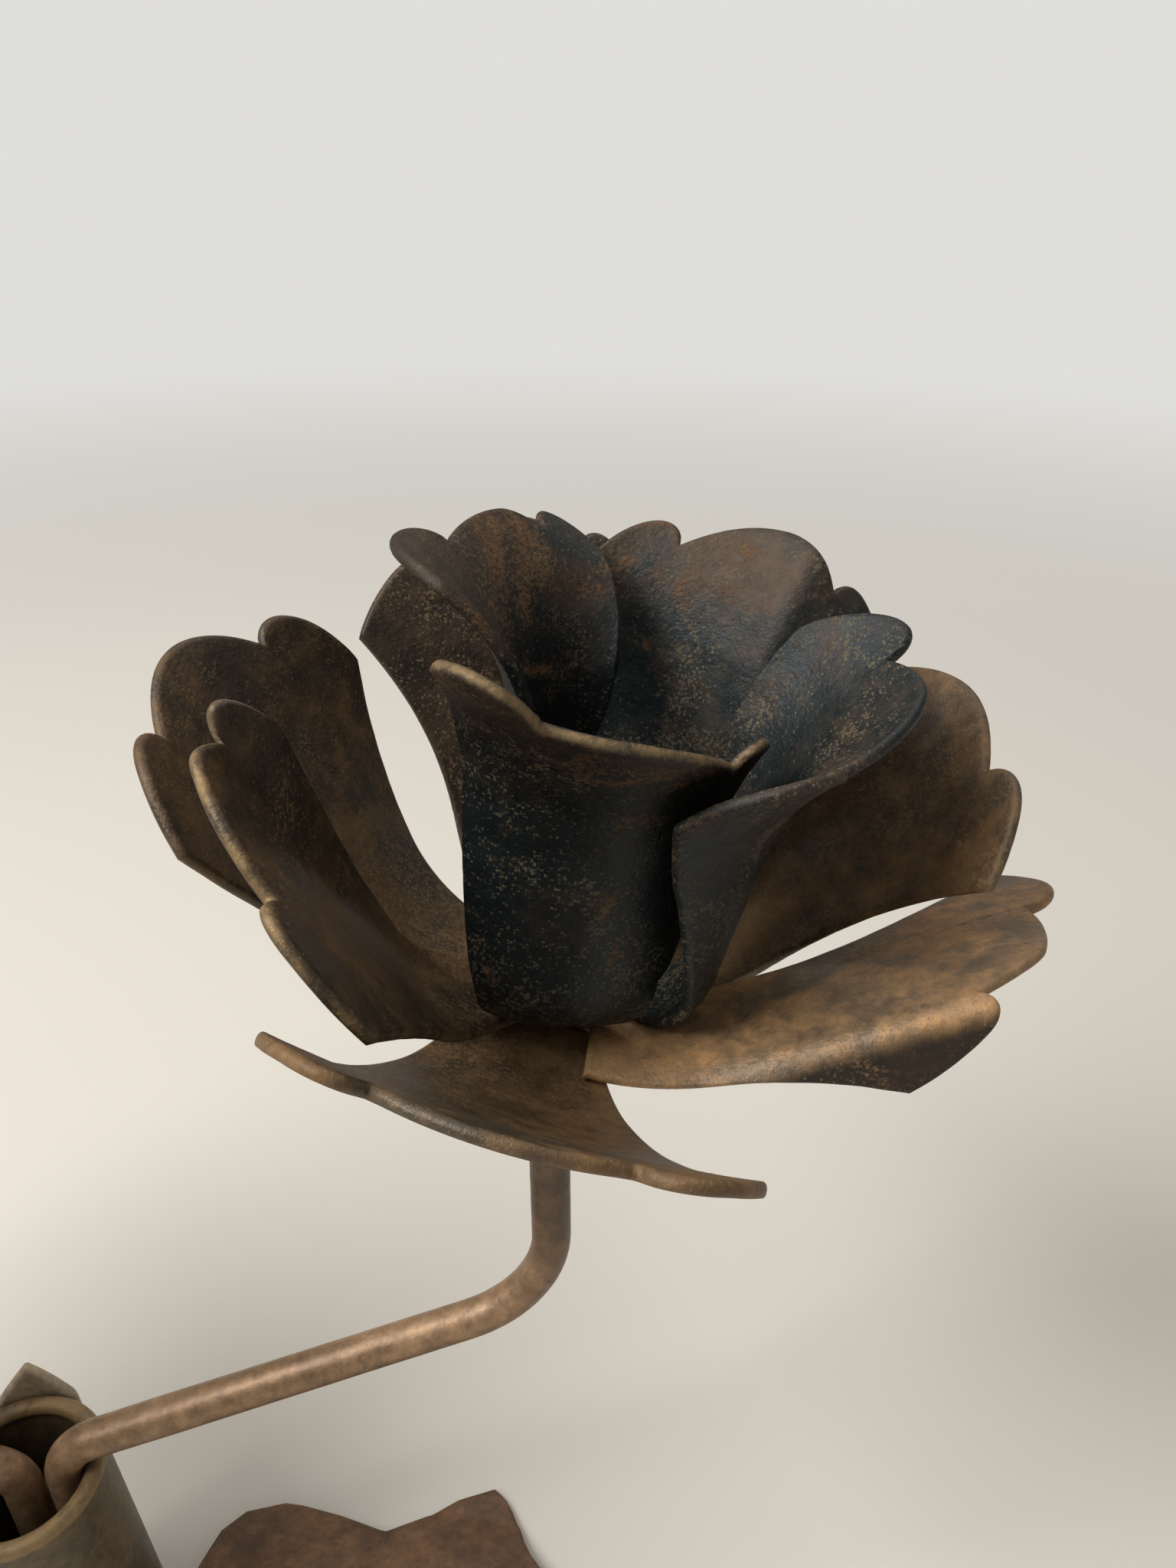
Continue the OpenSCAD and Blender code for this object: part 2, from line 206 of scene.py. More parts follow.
def sheet_shares(along: int, across: int, sides: tuple[float, ...]) -> tuple[np.ndarray, np.ndarray]:
    """Shares at which a sheet's grid stands.

    Args:
        along: even steps from root to tip.
        across: even steps from side to side.
        sides: close rows at either side.

    Returns:
        A column from 0 at the root to 1 at the tip, and a row from -1 to 1 across.
    """
    return edge_spaced(along, TIP_ROWS, False)[:, None], 2 * edge_spaced(across, sides, True)[None, :] - 1


def between(x: np.ndarray, knots: Knots) -> np.ndarray:
    """Value at x on straight lines between knots of share and value."""
    shares, values = zip(*knots)
    return np.interp(x, shares, values)


def way_mean(value: Callable[[float], np.ndarray]) -> np.ndarray:
    """Mean of a value over the shares of the way from a sheet's root or midrib to a point."""
    return sum(value(share) for share in WAY) / len(WAY)


def ring_faces(rings: int, steps: int, closed: bool = False) -> np.ndarray:
    """Faces between neighbouring rings of points.

    Args:
        rings: number of rings.
        steps: points of each.
        closed: True joins the last ring to the first.

    Returns:
        Indexes into the points, n by 4.
    """
    index = np.arange(rings * steps).reshape(rings, steps)
    a, b = (index, np.roll(index, -1, 0)) if closed else (index[:-1], index[1:])
    return np.stack([a, b, np.roll(b, -1, 1), np.roll(a, -1, 1)], -1).reshape(-1, 4)


def revolved(profile: np.ndarray, turn: np.ndarray) -> np.ndarray:
    """A profile of radius and height carried round the Z axis.

    Args:
        profile: n by 2.
        turn: m angles in radians.

    Returns:
        One ring of n points for each angle, m times n by 3.
    """
    r, z = profile[:, 0], profile[:, 1]
    rings = [r * np.cos(turn)[:, None], r * np.sin(turn)[:, None], np.broadcast_to(z, (len(turn), len(z)))]
    return np.stack(rings, -1).reshape(-1, 3)


def grid_normals(grid: np.ndarray) -> np.ndarray:
    """Unit normals of a grid of points: the cross product of its two differences.

    Args:
        grid: rows by columns by 3.

    Returns:
        Unit vectors in the same layout.
    """
    du = np.gradient(grid, axis=0)
    dv = np.gradient(grid, axis=1)
    n = np.cross(du, dv)
    return n / np.maximum(np.linalg.norm(n, axis=-1, keepdims=True), 1e-12)


def border_distance(grid: np.ndarray, root_free: bool) -> np.ndarray:
    """Distance along the sheet from every point to the sheet's border, measured along its rows and columns.

    Args:
        grid: rows by columns by 3.
        root_free: True counts the first row as a border too.

    Returns:
        Distances in millimetres, rows by columns.
    """
    along = np.concatenate([np.zeros((1, grid.shape[1])),
                            np.cumsum(np.linalg.norm(np.diff(grid, axis=0), axis=-1), 0)])
    across = np.concatenate([np.zeros((grid.shape[0], 1)),
                             np.cumsum(np.linalg.norm(np.diff(grid, axis=1), axis=-1), 1)], axis=1)
    reach = np.minimum(along[-1:] - along, np.minimum(across, across[:, -1:] - across))
    return np.minimum(reach, along) if root_free else reach


@dataclass
class SheetMesh:
    """Vertices, faces and vertex attributes of one or more sheets, gathered into a mesh."""

    name: str
    points: list[np.ndarray] = field(default_factory=list)
    faces: list[np.ndarray] = field(default_factory=list)
    worn: list[np.ndarray] = field(default_factory=list)
    tint: list[np.ndarray] = field(default_factory=list)
    root: list[np.ndarray] = field(default_factory=list)
    count: int = 0

    def add(self, points: np.ndarray, faces: np.ndarray, worn: np.ndarray, tint: float | np.ndarray,
            root: np.ndarray | None = None) -> None:
        """Adds a closed surface.

        Args:
            points: n by 3, in millimetres.
            faces: m by 4 indexes into points.
            worn: n values, 1 on a rubbed edge and 0 elsewhere.
            tint: one value, or one for each point, that makes the patina darker or lighter, and with it
                paints light and shade.
            root: n values, 1 where dust and crumbs gather and 0 elsewhere.
        """
        self.points.append(points)
        self.faces.append(faces + self.count)
        self.worn.append(worn)
        self.tint.append(np.full(len(points), tint))
        self.root.append(np.zeros(len(points)) if root is None else root)
        self.count += len(points)

    def add_sheet(self, grid: np.ndarray, thickness: float, tint: float | np.ndarray, root_free: bool = False,
                  wear: float = 0.6) -> None:
        """Adds a sheet of even thickness round a grid, with its border rounded to a half circle.

        The two faces lie half the thickness off the grid along its normal. Nearer to the border than that,
        the half thickness follows the circle: root of (r squared minus (r minus distance) squared).

        Args:
            grid: rows by columns by 3, the middle surface.
            thickness: of the sheet.
            tint: see add().
            root_free: True rounds the first row's border too.
            wear: how far its border is rubbed, from 0 to 1.
        """
        rows, columns = grid.shape[:2]
        r = thickness / 2
        distance = border_distance(grid, root_free)
        inside = np.clip(distance / r, 0, 1)
        half = r * np.sqrt(np.maximum(1 - (1 - inside) ** 2, 0))
        if not root_free:
            half[0, 1:-1] = r
        offset = grid_normals(grid) * half[..., None]
        front = (grid + offset).reshape(-1, 3)
        back = (grid - offset).reshape(-1, 3)
        index = np.arange(rows * columns).reshape(rows, columns)
        a, b, c, d = index[:-1, :-1], index[:-1, 1:], index[1:, 1:], index[1:, :-1]
        top = np.stack([a, d, c, b], -1).reshape(-1, 4)
        twin = index + rows * columns
        if root_free:
            twin[0] = index[0]
        twin[-1] = index[-1]
        twin[:, 0] = index[:, 0]
        twin[:, -1] = index[:, -1]
        a, b, c, d = twin[:-1, :-1], twin[:-1, 1:], twin[1:, 1:], twin[1:, :-1]
        bottom = np.stack([a, b, c, d], -1).reshape(-1, 4)
        faces = [top, bottom]
        if not root_free:
            faces.append(np.stack([index[0, :-1], index[0, 1:], twin[0, 1:], twin[0, :-1]], -1))
        rub = wear * np.exp(-distance / RUB_W).reshape(-1)
        gather = np.repeat(np.exp(-np.linspace(0, 1, rows) / GATHER_SHARE), columns)
        self.add(np.concatenate([front, back]), np.concatenate(faces)[:, ::-1], np.tile(rub, 2), tint,
                 np.tile(gather, 2))

    def add_lathe(self, profile: np.ndarray, worn: np.ndarray, tint: float, steps: int = 96,
                  root: float = 0.0) -> None:
        """Adds a closed ring or disc: a closed profile of radius and height carried round the Z axis.

        Args:
            profile: n by 2, radius and height, anticlockwise in the radius-height plane.
            worn: n values for the profile's points.
            tint: see add().
            steps: points round the ring.
            root: see add(), one value for all of it.
        """
        points = revolved(profile, np.linspace(0, 2 * np.pi, steps, endpoint=False))
        self.add(points, ring_faces(steps, len(profile), True), np.tile(worn, steps), tint,
                 np.full(len(points), root))

    def add_rod(self, path: np.ndarray, radius: np.ndarray, worn: np.ndarray, tint: float,
                steps: int = 40) -> None:
        """Adds a round rod: circles square to a path, with closed ends.

        Args:
            path: n by 3 points in one upright plane, the plane of X and Z.
            radius: n radii.
            worn: n values along the path.
            tint: see add().
            steps: points round the rod.
        """
        along = np.gradient(path, axis=0)
        along /= np.linalg.norm(along, axis=1, keepdims=True)
        side = np.tile([0.0, 1.0, 0.0], (len(path), 1))
        up = np.cross(along, side)
        angle = np.linspace(0, 2 * np.pi, steps, endpoint=False)
        ring = np.cos(angle)[None, :, None] * side[:, None] + np.sin(angle)[None, :, None] * up[:, None]
        points = (path[:, None] + radius[:, None, None] * ring).reshape(-1, 3)
        self.add(points, ring_faces(len(path), steps)[:, ::-1], np.repeat(worn, steps), tint)

    def place(self, change: Callable[[np.ndarray], np.ndarray]) -> None:
        """Moves all points with a function from points to points."""
        self.points = [change(p) for p in self.points]

    def build(self) -> bpy.types.Object:
        """Writes the mesh in metres with its attributes, welds its poles, turns its faces out and smooths it.

        Returns:
            The object, at the origin, unturned and unscaled.
        """
        points = np.concatenate(self.points) * MM
        faces = np.concatenate(self.faces)
        mesh = bpy.data.meshes.new(self.name)
        mesh.from_pydata(points.tolist(), [], faces.tolist())
        for label, values in (("worn", self.worn), ("tint", self.tint), ("root", self.root)):
            layer = mesh.attributes.new(label, "FLOAT", "POINT")
            layer.data.foreach_set("value", np.concatenate(values).astype(np.float32))
        shell = bmesh.new()
        shell.from_mesh(mesh)
        bmesh.ops.remove_doubles(shell, verts=shell.verts, dist=WELD)
        bmesh.ops.recalc_face_normals(shell, faces=shell.faces)
        shell.to_mesh(mesh)
        shell.free()
        mesh.polygons.foreach_set("use_smooth", np.ones(len(mesh.polygons), bool))
        obj = bpy.data.objects.new(self.name, mesh)
        bpy.context.scene.collection.objects.link(obj)
        return obj


@dataclass(frozen=True)
class TipShape:
    """The scalloped end of a petal: a middle lobe between two notches and a lobe at either side."""

    notch_reach: float = 5.0
    middle_lobe: float = 3.5
    side_lobe: float = 4.5
    notch: float = 0.5
    power: float = 0.7

    def reach(self, v: np.ndarray, share: float) -> np.ndarray:
        """How far the tip lies past the petal's corners at share v of the half width.

        Inside the notches it is a parabola over the middle lobe, and outside them a bulge that falls from the
        notch to nothing at the corner.

        Args:
            v: shares of the half width, from -1 to 1.
            share: stretch of the middle lobe and the notches.

        Returns:
            Lengths in millimetres.
        """
        a = np.abs(v)
        x = np.clip((a - self.notch) / (1 - self.notch), 0, 1)
        middle = share * (self.notch_reach + self.middle_lobe * (1 - (a / self.notch) ** 2))
        beside = share * self.notch_reach * (1 - x) + self.side_lobe * (4 * x * (1 - x)) ** self.power
        return np.where(a <= self.notch, middle, beside)

    @property
    def full(self) -> float:
        """Reach of the middle lobe."""
        return self.notch_reach + self.middle_lobe


@dataclass(frozen=True)
class Petal:
    """One sheet petal, cut from its blank and bent: how it is cut, and how its sheet turns along and across.

    Attributes:
        azimuth: compass angle of its root.
        lifts: how steep it stands at each of its kind's SHARES.
        roll: how far it is turned about its own length.
        curl: cupping at its corners.
        skew: how far one corner is longer than the other, in millimetres.
        length: share of the common length.
        tip: share of the common tip.
        heads: shares of the common half width on its two sides.
        growths: powers by which the two sides widen.
        tint: lightness of its patina, and painted light and shade: higher where light falls on the petal,
            lower where it lies in shade.
        wear: how far its rim is rubbed, from 0 to 1.
        necks: shares of the common neck on its two sides.
        swing: turn of its length away from its root's radius.
        fold: side, angle and distance from the midrib of a lengthwise fold.
    """

    azimuth: float
    lifts: tuple[float, ...]
    roll: float
    curl: float
    skew: float
    length: float
    tip: float
    heads: tuple[float, float]
    growths: tuple[float, float]
    tint: float
    wear: float
    necks: tuple[float, float] = (1.0, 1.0)
    swing: float = 0.0
    fold: tuple[float, float, float] = (0.0, 0.0, 0.0)

    ROOT: ClassVar[float] = 8.0
    LENGTH: ClassVar[float] = 39.0
    NECK: ClassVar[float] = 5.5
    HEAD: ClassVar[float] = 21.0
    SHARES: ClassVar[tuple[float, ...]] = (0.0, 0.3, 0.7, 1.0)
    TIP: ClassVar[TipShape] = TipShape()

    @property
    def root(self) -> float:
        """Distance of its root from the rose's axis."""
        return self.ROOT

    @property
    def rolls(self) -> Knots:
        """Turn of the sheet about the petal's length, by share of the length."""
        return (0.0, 0.0), (1.0, self.roll)

    @property
    def curls(self) -> Knots:
        """Cupping of the sheet, by share of the length."""
        return (0.0, 0.0), (1.0, self.curl)

    def across(self, w: np.ndarray, x: np.ndarray, half_w: np.ndarray, curl: np.ndarray) -> np.ndarray:
        """Angle of the sheet across the petal.

        It is the curl times the share w, and past the fold's distance from the midrib the fold's angle times
        the root of the length share, reached by a soft step over the fold's width.

        Args:
            w: shares of the half width.
            x: shares of the full length.
            half_w: half widths in millimetres.
            curl: curls in degrees.

        Returns:
            Angles in radians.
        """
        side, angle, place = self.fold
        bend = side * angle * np.sqrt(x) * soft_step((side * w * half_w - place) / FOLD_W)
        return np.radians(curl * w + bend)

    def half_width(self, u: np.ndarray, v: np.ndarray) -> np.ndarray:
        """Half width of the petal on the side of v: from its neck it grows to its head by a power of u."""
        neck = self.NECK * np.where(v < 0, *self.necks)
        head = self.HEAD * np.where(v < 0, *self.heads)
        return neck + (head - neck) * u ** np.where(v < 0, *self.growths)

    def lift(self, x: np.ndarray) -> np.ndarray:
        """How steep the sheet stands at length share x, in radians."""
        return np.radians(np.interp(x, self.SHARES, self.lifts))

    def tints(self) -> np.ndarray:
        """Lightness of the patina at every point of the grid, rows by columns.

        Painted shade blackens the lobe that a fold sharper than 90 degrees turns under, where shade falls
        beneath the fold.
        """
        u, v = sheet_shares(*PETAL_STEPS, PETAL_SIDES)
        side, angle, place = self.fold
        # Painted shade on the turned-under lobe, past the fold and towards the tip
        under = soft_step((side * v * self.half_width(u, v) - place - FOLD_W / 2) / PAINTED_SHADE_W)
        painted_shade = under * soft_step((u - PAINTED_SHADE_FROM) / PAINTED_SHADE_RUN) * (angle < -90)
        return self.tint * (1 - painted_shade) + PAINTED_SHADE_TINT * painted_shade

    def grid(self, height: float) -> np.ndarray:
        """The petal's middle surface on the rose's axis.

        A point at shares u and v lies the arc length u times the local length out from the root, where the
        sheet leans by its lift, and v times the local half width aside, where the sheet turns by its curl and
        fold. Both turns are summed as mean cosines and sines over the way to the point.

        Args:
            height: of the blank's middle plane.

        Returns:
            Rows by columns by 3, in millimetres.
        """
        u, v = sheet_shares(*PETAL_STEPS, PETAL_SIDES)
        length = self.LENGTH * self.length
        out = u * (length + self.TIP.reach(v, self.tip) + self.skew * v)
        x = out / (length + self.tip * self.TIP.full)
        half_w = self.half_width(u, v)
        curl = between(x, self.curls) * half_w / (self.HEAD * np.where(v < 0, *self.heads))
        flat = way_mean(lambda share: np.cos(self.across(v * share, x, half_w, curl))) * v * half_w
        proud = way_mean(lambda share: np.sin(self.across(v * share, x, half_w, curl))) * v * half_w
        turn = np.radians(between(x, self.rolls))
        aside = flat * np.cos(turn) - proud * np.sin(turn)
        up = flat * np.sin(turn) + proud * np.cos(turn)
        reach = out * way_mean(lambda share: np.cos(self.lift(x * share))) - up * np.sin(self.lift(x))
        z = height + out * way_mean(lambda share: np.sin(self.lift(x * share))) + up * np.cos(self.lift(x))
        foot = turned(np.array([self.root, 0.0, 0.0]), self.azimuth)
        return turned(np.stack([reach, aside, z], -1), self.azimuth + self.swing) + foot


@dataclass(frozen=True)
class CupPetal(Petal):
    """A petal of the innermost blank, rolled round the candle and tucked under its neighbour by its roll.

    Attributes:
        shift: how far its root lies from the common root radius.
        rolled: share of the common curl round the candle. Its curl is what is left of that at its flared tip.
    """

    shift: float = 2.5
    rolled: float = 1.0

    ROOT: ClassVar[float] = 6.0
    NECK: ClassVar[float] = 4.0
    HEAD: ClassVar[float] = 19.0
    SHARES: ClassVar[tuple[float, ...]] = (0.0, 0.12, 0.25, 0.55, 0.8, 1.0)

    @property
    def root(self) -> float:
        """Distance of its root from the rose's axis."""
        return self.ROOT + self.shift

    @property
    def rolls(self) -> Knots:
        """Turn of the sheet about the petal's length, by share of the length."""
        return (0.0, 0.0), (0.15, self.roll), (1.0, self.roll)

    @property
    def curls(self) -> Knots:
        """Cupping of the sheet, by share of the length."""
        rolled = self.rolled
        return (0.0, 22.0 * rolled), (0.2, 80.0 * rolled), (0.65, 74.0 * rolled), (1.0, self.curl)


@dataclass
class RoseHead:
    """The rose of one arm: three blanks of four petals each, stacked on the rod's riveted end."""

    side: Side
    # Each petal's tint, its tenth value, paints light and shade as well as patina: raised where light falls
    # on a petal, lowered where it lies in shade
    outer: tuple[Petal, ...] = (
        Petal(261, (-12, 24, 44, 38), -1, 11, 0, 1.0, 1, (0.93, 0.95), (1.0, 1.05), 0.8, 0.45, (1.35, 1.1)),
        Petal(16, (0, 54, 69, 60), 2, 12, 1, 1.03, 1.45, (1.05, 1.1), (3.0, 1.4), 0.55, 0.8),
        Petal(84, (0, 36, 44, 38), 0, 14, 0, 1.0, 1, (1.0, 1.0), (1.6, 1.6), 0.45, 0.4),
        Petal(176, (0, 40, 48, 45), -13, 28, 0, 0.88, 1.6, (1.0, 0.98), (0.9, 1.4), 0.42, 0.6, (1.3, 1)),
    )
    middle: tuple[Petal, ...] = (
        Petal(218, (0, 47, 51, 47), -20, 10, -4, 0.98, 1.2, (0.45, 0.95), (1.2, 1.5), 0.42, 0.9,
              fold=(-1, 45, 1)),
        # Painted light: the tint of 2.0 makes this petal's face bright, for the light that falls on it
        Petal(300, (-2, 30, 36, 26), -14, 0, 8, 0.98, 1, (0.72, 1.15), (3.6, 2.7), 2.0, 0.6, (1.75, 1),
              swing=54, fold=(-1, -110, 6.5)),
        Petal(52, (0, 60, 80, 76), 0, 30, 0, 1.0, 1, (0.7, 0.85), (1.6, 1.6), 0.4, 0.4, (0.8, 0.8)),
        # Painted shade: the tint below nothing darkens this petal, which lies in shade
        Petal(112, (0, 52, 67, 62), -20, 12, -3, 1.0, 1.5, (0.75, 0.85), (1.2, 3.0), -0.05, 0.3),
    )
    cup: tuple[Petal, ...] = (
        # Painted shade: low tints darken the cup petals at 270 and 337 degrees, whose faces lie in shade, and
        # dim their sheen
        CupPetal(270, (0, 46, 95, 86, 60, 40), 12, 44, -9, 0.91, 1, (1.0, 1.0), (0.6, 0.6), 0.25, 0.9),
        CupPetal(337, (0, 46, 88, 86, 60, 38), 15, 34, 4, 0.92, 1.5, (1.02, 0.85), (1.25, 1.2), 0.3, 0.5),
        CupPetal(49, (10, 60, 92, 91, 74, 50), 0, 20, -3, 1.03, 1.35, (0.9, 1.0), (0.9, 0.6), 0.55, 0.25,
                 fold=(-1, -75, 3), rolled=0.8),
        CupPetal(143, (10, 66, 95, 90, 56, 26), 0, -10, 0, 1.08, 1, (0.52, 1.08), (1.2, 1.1), 0.25, 0.3,
                 shift=-1.5, rolled=1.1),
    )

    def on_head(self, points: np.ndarray) -> np.ndarray:
        """Points built on the rose's own axis, put onto the end of this side's arm."""
        lean = leaned(turned(points, -ARM_AZIMUTH), HEAD_TILT)
        return turned(lean + SEAT, ARM_AZIMUTH + self.side.value)

    def blank(self, label: str, petals: tuple[Petal, ...], height: float, seed: int) -> bpy.types.Object:
        """One blank: its petals and its hub disc with the rivet hole.

        Args:
            label: name of the piece.
            petals: its petals.
            height: of its middle plane on the rose's axis.
            seed: start of its hammer marks.

        Returns:
            The piece, riding on the part.
        """
        sheet = SheetMesh(label)
        for number, petal in enumerate(petals):
            grid = hammered(petal.grid(height), seed + number)
            sheet.add_sheet(grid, PETAL_T, np.tile(petal.tints().ravel(), 2), wear=petal.wear)
        half = PETAL_T / 2 - HUB_INSET
        hole, rim = TENON_D / 2 + FIT_GAP, HUB_D / 2
        arc = np.radians(np.linspace(-90, 90, 7))
        edge = np.stack([rim - half + half * np.cos(arc), half * np.sin(arc)], 1)
        profile = np.concatenate([[[hole, -half]], edge, [[hole, half]]]) + [0.0, height]
        sheet.add_lathe(profile, np.zeros(len(profile)), HUB_TINT, root=1.0)
        sheet.place(self.on_head)
        return sheet.build()

    def build(self) -> dict[str, bpy.types.Object]:
        """All three blanks, by the name of the solid that each stands for."""
        name = self.side.label
        blanks = (("outer", self.outer, OUTER_Z, 11), ("middle", self.middle, MIDDLE_Z, 31),
                  ("cup", self.cup, CUP_Z, 51))
        return {f"{name}_{ring}_petals": self.blank(f"{name}_{ring}_rose_sheet", petals, height, seed)
                for ring, petals, height, seed in blanks}


def hammered(grid: np.ndarray, seed: int) -> np.ndarray:
    """The grid with shallow hammer marks: a sum of round dents that push it along its normal.

    Each dent is its depth times the bell of the distance over its radius.

    Args:
        grid: rows by columns by 3.
        seed: of the dents' places.

    Returns:
        The dented grid. Its first rows stay as they are.
    """
    rng = np.random.default_rng(seed)
    rows, columns = grid.shape[:2]
    centres = grid[rng.integers(rows // 5, rows, DENTS), rng.integers(0, columns, DENTS)]
    radii = rng.uniform(*DENT_R, DENTS)
    depths = rng.uniform(-1.0, 1.0, DENTS) * DENT_DEPTH
    gap = np.linalg.norm(grid[:, :, None] - centres, axis=-1)
    push = (depths * np.exp(-((gap / radii) ** 2))).sum(-1)
    push *= soft_step(np.linspace(0, 1, rows) / 0.3)[:, None]
    return grid + grid_normals(grid) * push[..., None]


@dataclass
class Arm:
    """One forged rod: leg, hook over the cone's rim, slope, elbow, upright, lean, tenon and rivet head."""

    side: Side
    leg_offset: float
    wave: float = 0.03
    wave_most: float = 0.05
    foot_chamfer: float = 0.25
    chamfer: float = 0.3
    cap: float = 0.02
    tenon_sunk: float = 1.0
    head_tint: float = 0.2

    def corners(self) -> list[tuple[np.ndarray, float]]:
        """Corners of the rod's line in its own upright plane, with the bend radius at each."""
        tilt = math.radians(HEAD_TILT)
        rise = math.tan(math.radians(ARM_SLOPE))
        slope_z = BASE_H + ARM_LIFT + (ARM_REACH - LEG_OFFSET) * rise
        hook_z = slope_z - (ARM_REACH - self.leg_offset) * rise
        neck_z = SEAT_Z - NECK_BEND_R * math.sin(tilt) + NECK_BEND_R * math.tan(tilt / 2)
        shoulder = SEAT[[0, 2]] - FIT_GAP * np.array([math.sin(tilt), math.cos(tilt)])
        return [(np.array([self.leg_offset, FIT_GAP]), 0.0),
                (np.array([self.leg_offset, hook_z]), HOOK_BEND_R),
                (np.array([ARM_REACH, slope_z]), ELBOW_BEND_R),
                (np.array([ARM_REACH, neck_z]), NECK_BEND_R),
                (shoulder, 0.0)]

    def path(self) -> np.ndarray:
        """The rod's line: straight runs joined by arcs that touch both of their runs.

        Returns:
            Points about 1.5 mm apart, n by 2 in the arm's plane.
        """
        corners = self.corners()
        line = [corners[0][0]]
        for (before, _), (corner, bend_r), (after, _) in zip(corners, corners[1:], corners[2:]):
            into = (corner - before) / np.linalg.norm(corner - before)
            out = (after - corner) / np.linalg.norm(after - corner)
            angle = math.acos(float(np.clip(into @ out, -1, 1)))
            tangent = bend_r * math.tan(angle / 2)
            start = corner - into * tangent
            square = (out - into * (into @ out)) / math.sin(angle)
            line.extend(self._straight(line[-1], start))
            steps = max(4, int(math.degrees(angle) / 4))
            turn = np.linspace(0, angle, steps + 1)[1:, None]
            line.extend(start + bend_r * (np.sin(turn) * into + (1 - np.cos(turn)) * square))
        line.extend(self._straight(line[-1], corners[-1][0]))
        return np.array(line)

    @staticmethod
    def _straight(start: np.ndarray, end: np.ndarray) -> np.ndarray:
        """Points about 1.5 mm apart on the way from start to end, without the start."""
        count = max(2, int(np.linalg.norm(end - start) / 1.5))
        return start + np.linspace(0, 1, count + 1)[1:, None] * (end - start)

    def build(self) -> bpy.types.Object:
        """The whole rod with its chamfered ends, tenon and hammered rivet head."""
        rod = SheetMesh(f"{self.side.label}_forged_rod")
        line = self.path()
        path = np.stack([line[:, 0], np.zeros(len(line)), line[:, 1]], -1)
        rng = np.random.default_rng(5)
        wave = self.wave * np.convolve(rng.normal(size=len(path) + 4), np.ones(5) / 5, "valid")
        radius = ROD_D / 2 + np.minimum(wave, self.wave_most)
        rod.add_rod(self._closed(path), self._closed_radius(radius), np.zeros(len(path) + 4), 0.5)
        head = SheetMesh("head")
        dome = np.radians(np.linspace(0, 90, 10))
        rise = np.stack([RIVET_D / 2 * np.cos(dome), RIVET_Z + RIVET_H * (0.25 + 0.75 * np.sin(dome))], 1)
        rise[-1, 0] = POLE_R
        tenon = [[POLE_R, -self.tenon_sunk], [TENON_D / 2, -self.tenon_sunk], [TENON_D / 2, RIVET_Z],
                 [RIVET_D / 2 - self.chamfer, RIVET_Z]]
        worn = np.concatenate([np.zeros(len(tenon)), np.full(len(rise), 0.3)])
        head.add_lathe(np.concatenate([tenon, rise]), worn, self.head_tint, 48)
        head.place(lambda points: leaned(points, HEAD_TILT) + SEAT)
        rod.add(head.points[0], head.faces[0], head.worn[0], self.head_tint)
        rod.place(partial(turned, degrees=ARM_AZIMUTH + self.side.value))
        return rod.build()

    def _closed(self, path: np.ndarray) -> np.ndarray:
        """The path with two more points at either end, so that a chamfer and a cap of no radius close it."""
        start, end = path[1] - path[0], path[-1] - path[-2]
        start, end = start / np.linalg.norm(start), end / np.linalg.norm(end)
        return np.concatenate([[path[0], path[0] + start * self.cap], [path[0] + start * self.foot_chamfer],
                               path[1:-1], [path[-1] - end * self.chamfer],
                               [path[-1] - end * self.cap, path[-1]]])

    def _closed_radius(self, radius: np.ndarray) -> np.ndarray:
        """Radii that go with _closed(): nothing at the very ends, then the chamfers."""
        return np.concatenate([[POLE_R, radius[0] - self.foot_chamfer], radius,
                               [radius[-1] - self.chamfer, POLE_R]])


